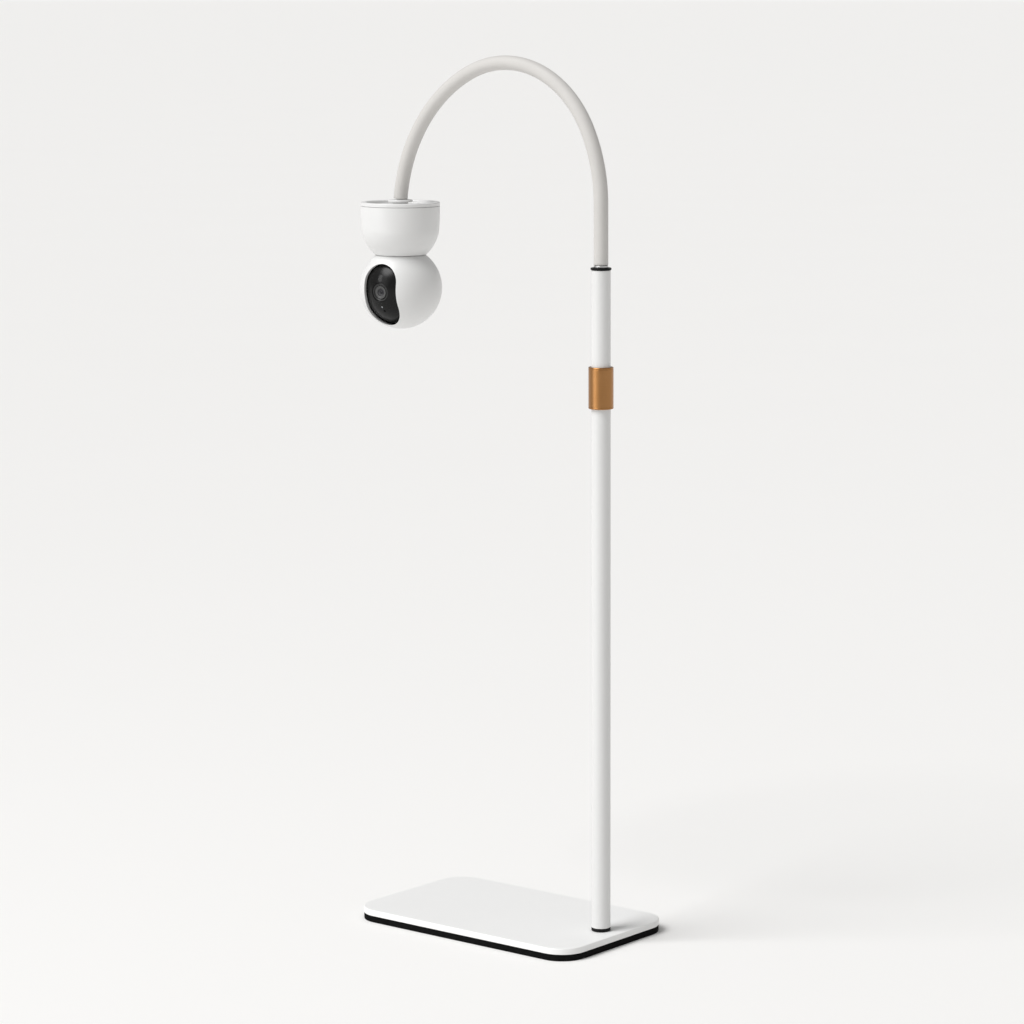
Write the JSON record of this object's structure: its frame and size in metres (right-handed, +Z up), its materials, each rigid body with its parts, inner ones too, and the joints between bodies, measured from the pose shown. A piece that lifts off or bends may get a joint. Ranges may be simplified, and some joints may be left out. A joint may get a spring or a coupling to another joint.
{
  "type": "floor-stand camera",
  "caption": "Pan and tilt camera hanging lens-forward from a bendable gooseneck on a pole with a weighted rectangular floor base.",
  "frame": {"origin": "centre of the base's footprint, on the floor", "axes": "+Z up, +X along the base's long side towards the pole; the camera hangs over the -X end and looks towards -Y, turned 6 degrees"},
  "size_m": [0.3244, 0.168, 0.8815],
  "materials": {
    "white_paint": "matt white powder coat",
    "white_plastic": "satin white moulding",
    "rubber_pad": "matt black",
    "silicone": "soft matt light grey sleeve",
    "black_plastic": "matt black",
    "black_gloss": "gloss black",
    "copper": "polished copper coloured",
    "steel": "bright",
    "brass": "turned",
    "circuit_board": "solder mask",
    "gear_plastic": "moulded",
    "lens_glass": "dark coated"
  },
  "bodies": {
    "stand": {"base_pad": "rubber_pad", "base_plate": "white_paint", "pole_bolt": "steel", "foot_ring": "black_plastic", "lower_insert": "steel", "lower_tube": "white_paint", "upper_tube": "white_paint", "coupling_spigot": "steel", "collar": "copper", "neck_socket": "steel", "top_ring": "black_plastic", "neck_ferrule": "steel", "neck_sleeve_1": "silicone", "neck_core_1": "steel"},
    "neck_2": {"neck_sleeve_2": "silicone", "neck_core_2": "steel"},
    "neck_3": {"neck_sleeve_3": "silicone", "neck_core_3": "steel"},
    "neck_4": {"neck_sleeve_4": "silicone", "neck_core_4": "steel"},
    "neck_5": {"neck_sleeve_5": "silicone", "neck_core_5": "steel"},
    "neck_6": {"neck_sleeve_6": "silicone", "neck_core_6": "steel"},
    "camera_base": {"neck_sleeve_7": "silicone", "neck_core_7": "steel", "mount_flange": "white_plastic", "mount_stud": "steel", "cup": "white_plastic", "base_cover": "white_plastic", "thread_insert": "brass", "cover_screw_1": "steel", "cover_screw_2": "steel", "main_board": "circuit_board", "power_inlet": "steel", "speaker": "black_plastic", "pan_plate": "white_plastic", "pan_bearing": "brass", "pan_motor": "steel"},
    "reset": {"reset_button": "white_plastic"},
    "pan_drive": {"pan_pinion": "gear_plastic"},
    "head": {"head_shell": "white_plastic", "head_back": "white_plastic", "head_screw": "steel", "head_hub": "white_plastic", "hub_clip": "steel", "pan_gear": "gear_plastic", "tilt_pin_1": "steel", "tilt_pin_2": "steel", "tilt_motor": "steel", "tilt_bracket": "steel"},
    "tilt_drive": {"tilt_pinion": "gear_plastic"},
    "eye": {"eye_face": "black_gloss", "status_light": "lens_glass", "lens_bezel": "black_gloss", "lens_barrel": "black_plastic", "lens_glass": "lens_glass", "sensor_board": "circuit_board", "infrared_board": "circuit_board", "tilt_gear": "gear_plastic"}
  },
  "joints": [
    {"name": "neck_bend_1", "type": "hinge", "parent": "stand", "child": "neck_2", "pos_m": [0.1106, 0, 0.78739], "axis": [0, -1, 0], "range_deg": [-34.7, 5]},
    {"name": "neck_bend_2", "type": "hinge", "parent": "neck_2", "child": "neck_3", "pos_m": [0.06885, 0, 0.85057], "axis": [0, -1, 0], "range_deg": [-34.7, 5]},
    {"name": "neck_side", "type": "hinge", "parent": "neck_3", "child": "neck_4", "pos_m": [0.03877, 0, 0.86736], "axis": [0.3499, 0, 0.9368], "range_deg": [-35, 35]},
    {"name": "neck_bend_3", "type": "hinge", "parent": "neck_4", "child": "neck_5", "pos_m": [0.00505, 0, 0.8744], "axis": [0, -1, 0], "range_deg": [-34.7, 5]},
    {"name": "neck_bend_4", "type": "hinge", "parent": "neck_5", "child": "neck_6", "pos_m": [-0.06639, 0, 0.85473], "axis": [0, -1, 0], "range_deg": [-34.7, 5]},
    {"name": "neck_bend_5", "type": "hinge", "parent": "neck_6", "child": "camera_base", "pos_m": [-0.12905, 0, 0.78255], "axis": [0, -1, 0], "range_deg": [-34.7, 5]},
    {"name": "head_pan", "type": "hinge", "parent": "camera_base", "child": "head", "pos_m": [-0.14186, 0, 0.64515], "axis": [0, 0, 1], "range_deg": [-175, 175]},
    {"name": "pan_pinion_spin", "type": "hinge", "parent": "camera_base", "child": "pan_drive", "pos_m": [-0.16441, -0.00821, 0.64515], "axis": [0, 0, 1], "range_deg": [-526, 526]},
    {"name": "eye_tilt", "type": "hinge", "parent": "head", "child": "eye", "pos_m": [-0.14186, 0, 0.64515], "axis": [-0.9945, -0.1045, 0], "range_deg": [-40, 24]},
    {"name": "tilt_pinion_spin", "type": "hinge", "parent": "head", "child": "tilt_drive", "pos_m": [-0.14395, 0.01989, 0.64515], "axis": [-0.9945, -0.1045, 0], "range_deg": [-97, 161]},
    {"name": "reset_press", "type": "slide", "parent": "camera_base", "child": "reset", "axis": [0, 0, -1], "range_m": [0, 0.0006], "stiffness_N_per_m": 300, "springref_m": -0.001}
  ],
  "couplings": [
    {"joint": "neck_bend_2", "follows": "neck_bend_1", "ratio": 1},
    {"joint": "neck_bend_4", "follows": "neck_bend_3", "ratio": 1},
    {"joint": "neck_bend_5", "follows": "neck_bend_3", "ratio": 1},
    {"joint": "pan_pinion_spin", "follows": "head_pan", "ratio": -3},
    {"joint": "tilt_pinion_spin", "follows": "eye_tilt", "ratio": -4}
  ]
}
